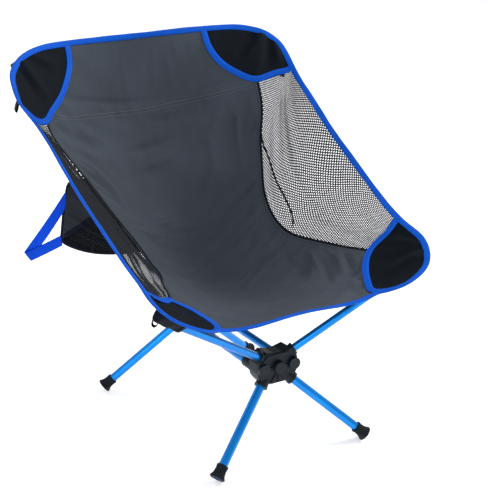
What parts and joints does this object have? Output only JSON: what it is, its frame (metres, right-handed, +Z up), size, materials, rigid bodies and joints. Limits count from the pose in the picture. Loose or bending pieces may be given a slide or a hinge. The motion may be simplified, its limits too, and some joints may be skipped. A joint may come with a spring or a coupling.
{
  "type": "folding camp chair",
  "caption": "Ultralight pole-frame camp chair: sling seat with net sides and corner pockets, plastic hubs, splayed legs with rubber feet, rear storage pouch.",
  "frame": {"origin": "on the ground, below the centre of the chair's outer box", "axes": "+Z up; the sitter faces -Y; +X is the sitter's left"},
  "size_m": [0.583, 0.6128, 0.6532],
  "materials": {
    "blue_anodised_tube": "satin blue anodised",
    "ferrule_aluminium": "bare satin",
    "hub_plastic": "moulded, fine grain",
    "cap_plastic": "moulded",
    "foot_rubber": "matte, ribbed",
    "fastener_steel": "blackened",
    "shock_cord": "braided",
    "seat_fabric": "woven, dark grey",
    "net_fabric": "open net, black",
    "pocket_fabric": "woven, black",
    "blue_binding": "folded woven tape",
    "blue_webbing": "flat woven webbing",
    "black_webbing": "flat woven webbing"
  },
  "bodies": {
    "hub_core": {"front_hub_outer_shell": "hub_plastic", "front_hub_inner_shell": "hub_plastic", "front_hub_screw": "fastener_steel", "front_hub_nut": "fastener_steel", "rear_hub_outer_shell": "hub_plastic", "rear_hub_inner_shell": "hub_plastic", "rear_hub_screw": "fastener_steel", "rear_hub_nut": "fastener_steel", "link_bar_left": "blue_anodised_tube", "link_bar_right": "blue_anodised_tube"},
    "leg_front_right": {"leg_tube_front_right": "blue_anodised_tube", "leg_foot_front_right": "foot_rubber", "leg_cord_front_right": "shock_cord"},
    "leg_front_left": {"leg_tube_front_left": "blue_anodised_tube", "leg_foot_front_left": "foot_rubber", "leg_cord_front_left": "shock_cord"},
    "leg_rear_right": {"leg_tube_rear_right": "blue_anodised_tube", "leg_foot_rear_right": "foot_rubber", "leg_cord_rear_right": "shock_cord"},
    "leg_rear_left": {"leg_tube_rear_left": "blue_anodised_tube", "leg_foot_rear_left": "foot_rubber", "leg_cord_rear_left": "shock_cord"},
    "seat": {"seat_main_panel": "seat_fabric", "seat_net_left": "net_fabric", "seat_net_right": "net_fabric", "front_pocket_left": "pocket_fabric", "front_pocket_right": "pocket_fabric", "top_pocket_left": "pocket_fabric", "top_pocket_right": "pocket_fabric", "seat_edge_binding": "blue_binding", "pocket_edge_tapes": "blue_binding", "front_sleeve_left": "pocket_fabric", "front_sleeve_right": "pocket_fabric", "top_sleeve_left": "pocket_fabric", "top_sleeve_right": "pocket_fabric", "corner_pull_tabs": "black_webbing"},
    "seat_arm_right": {"seat_arm_right": "blue_anodised_tube", "seat_arm_cap_right": "cap_plastic", "seat_arm_cord_right": "shock_cord"},
    "back_pole_lower_right": {"back_pole_lower_right": "blue_anodised_tube", "back_pole_ferrule_right": "ferrule_aluminium", "back_pole_cord_right": "shock_cord"},
    "back_pole_upper_right": {"back_pole_upper_right": "blue_anodised_tube", "back_pole_cap_right": "cap_plastic"},
    "seat_arm_left": {"seat_arm_left": "blue_anodised_tube", "seat_arm_cap_left": "cap_plastic", "seat_arm_cord_left": "shock_cord"},
    "back_pole_lower_left": {"back_pole_lower_left": "blue_anodised_tube", "back_pole_ferrule_left": "ferrule_aluminium", "back_pole_cord_left": "shock_cord"},
    "back_pole_upper_left": {"back_pole_upper_left": "blue_anodised_tube", "back_pole_cap_left": "cap_plastic"},
    "pouch": {"pouch_back_panel": "seat_fabric", "pouch_front_panel": "seat_fabric", "pouch_mesh_panel": "net_fabric", "pouch_binding": "black_webbing"},
    "pouch_handle": {"pouch_handle": "blue_webbing"}
  },
  "joints": [
    {"name": "leg_pull_front_right", "type": "slide", "parent": "hub_core", "child": "leg_front_right", "axis": [-0.6821, -0.3206, -0.6572], "range_m": [0, 0.034]},
    {"name": "leg_pull_front_left", "type": "slide", "parent": "hub_core", "child": "leg_front_left", "axis": [0.6821, -0.3206, -0.6572], "range_m": [0, 0.034]},
    {"name": "leg_pull_rear_right", "type": "slide", "parent": "hub_core", "child": "leg_rear_right", "axis": [-0.7196, 0.2681, -0.6405], "range_m": [0, 0.034]},
    {"name": "leg_pull_rear_left", "type": "slide", "parent": "hub_core", "child": "leg_rear_left", "axis": [0.7196, 0.2681, -0.6405], "range_m": [0, 0.034]},
    {"name": "seat_lift", "type": "slide", "parent": "hub_core", "child": "seat", "axis": [0, 0, 1], "range_m": [0, 0.19], "deforming": ["front_sleeve_left", "front_sleeve_right", "top_sleeve_left", "top_sleeve_right"]},
    {"name": "seat_arm_pull_right", "type": "slide", "parent": "hub_core", "child": "seat_arm_right", "axis": [-0.8146, -0.2353, 0.5302], "range_m": [0, 0.03]},
    {"name": "back_pole_pull_right", "type": "slide", "parent": "hub_core", "child": "back_pole_lower_right", "axis": [-0.4416, 0.3135, 0.8407], "range_m": [0, 0.03]},
    {"name": "back_pole_split_right", "type": "slide", "parent": "back_pole_lower_right", "child": "back_pole_upper_right", "axis": [-0.4416, 0.3135, 0.8407], "range_m": [0, 0.03]},
    {"name": "seat_arm_pull_left", "type": "slide", "parent": "hub_core", "child": "seat_arm_left", "axis": [0.8146, -0.2353, 0.5302], "range_m": [0, 0.03]},
    {"name": "back_pole_pull_left", "type": "slide", "parent": "hub_core", "child": "back_pole_lower_left", "axis": [0.4416, 0.3135, 0.8407], "range_m": [0, 0.03]},
    {"name": "back_pole_split_left", "type": "slide", "parent": "back_pole_lower_left", "child": "back_pole_upper_left", "axis": [0.4416, 0.3135, 0.8407], "range_m": [0, 0.03]},
    {"name": "pouch_swing", "type": "hinge", "parent": "seat", "child": "pouch", "pos_m": [0, 0.2505, 0.402], "axis": [1, 0, 0], "range_deg": [0, 35]},
    {"name": "pouch_handle_swing", "type": "hinge", "parent": "pouch", "child": "pouch_handle", "pos_m": [-0.1939, 0.2499, 0.34], "axis": [0.1517, 0, 0.9884], "range_deg": [-40, 40]}
  ],
  "couplings": [
    {"joint": "seat_arm_pull_right", "follows": "seat_lift", "ratio": 0.12},
    {"joint": "back_pole_pull_right", "follows": "seat_lift", "ratio": 0.12},
    {"joint": "back_pole_split_right", "follows": "seat_lift", "ratio": 0.12},
    {"joint": "seat_arm_pull_left", "follows": "seat_lift", "ratio": 0.12},
    {"joint": "back_pole_pull_left", "follows": "seat_lift", "ratio": 0.12},
    {"joint": "back_pole_split_left", "follows": "seat_lift", "ratio": 0.12}
  ]
}
